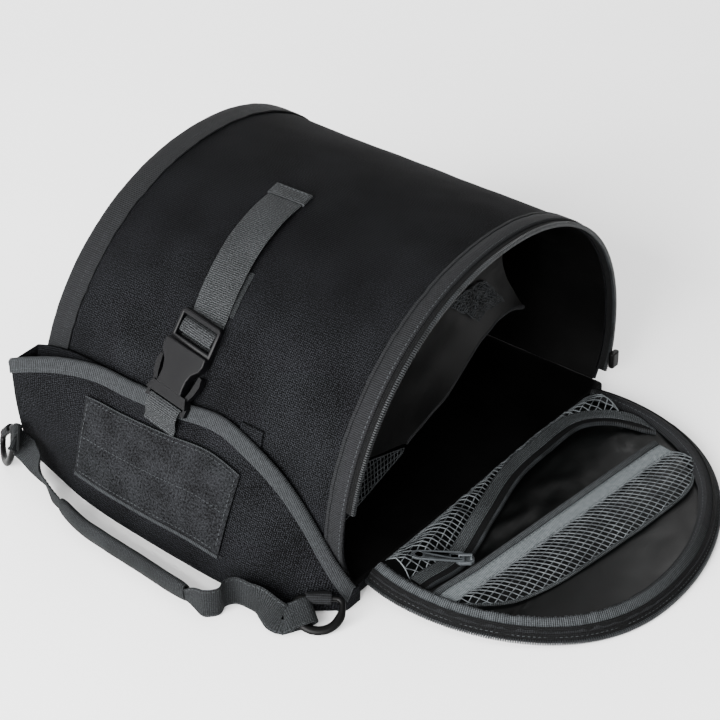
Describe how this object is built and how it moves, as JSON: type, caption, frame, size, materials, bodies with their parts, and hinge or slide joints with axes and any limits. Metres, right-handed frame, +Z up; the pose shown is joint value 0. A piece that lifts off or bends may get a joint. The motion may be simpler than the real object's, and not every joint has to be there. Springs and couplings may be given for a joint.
{
  "type": "tactical helmet bag",
  "caption": "Padded half-round helmet bag standing open, with its zipped door let down, a wedge front pocket, a strap with a side-release buckle and a webbing handle on D-rings.",
  "frame": {"origin": "middle of the base's flat underside, on the surface that the bag stands on", "axes": "+X from the closed end to the open mouth, -Y towards the front pocket, +Z up"},
  "size_m": [0.5011, 0.4093, 0.2169],
  "materials": {
    "nylon": "matt woven nylon",
    "lining": "smooth coated lining",
    "tape": "ribbed binding tape",
    "trim": "ribbed light tape",
    "webbing": "woven webbing",
    "loop": "napped loop pile",
    "mesh": "open knitted mesh",
    "coil": "nylon zip coil",
    "plastic": "moulded acetal, satin",
    "zinc": "black enamelled zinc"
  },
  "bodies": {
    "bag": {"base_pad": "nylon", "main_wrap": "nylon", "end_panel": "nylon", "end_binding": "tape", "mouth_binding": "tape", "mouth_zip": "coil", "main_zip_slider": "zinc", "door_panel": "lining", "door_binding": "tape", "door_zip": "coil", "pocket_zip_upper": "tape", "door_mesh_upper": "mesh", "pocket_zip_lower": "coil", "pocket_trim_band": "trim", "door_mesh_lower": "mesh", "pocket_slider": "zinc", "front_pocket": "nylon", "pocket_binding": "tape", "loop_panel": "loop", "body_tab": "webbing", "strap_fold": "webbing", "closure_strap": "webbing", "strap_tail": "webbing", "buckle_socket": "plastic", "buckle_plug": "plastic", "strap_lower": "webbing", "dring_left": "plastic", "dring_tab_left": "webbing", "dring_right": "plastic", "dring_tab_right": "webbing", "handle_web_left": "webbing", "handle_web_right": "webbing", "handle_grip": "webbing", "inner_flap": "lining", "inner_mesh": "mesh"},
    "pull": {"pull_tab": "zinc"}
  },
  "joints": [
    {"name": "pull_tab_hinge", "type": "hinge", "parent": "bag", "child": "pull", "pos_m": [0.19388, -0.09523, 0.0204], "axis": [-0.6157, 0.788, 0], "range_deg": [0, 170]}
  ]
}
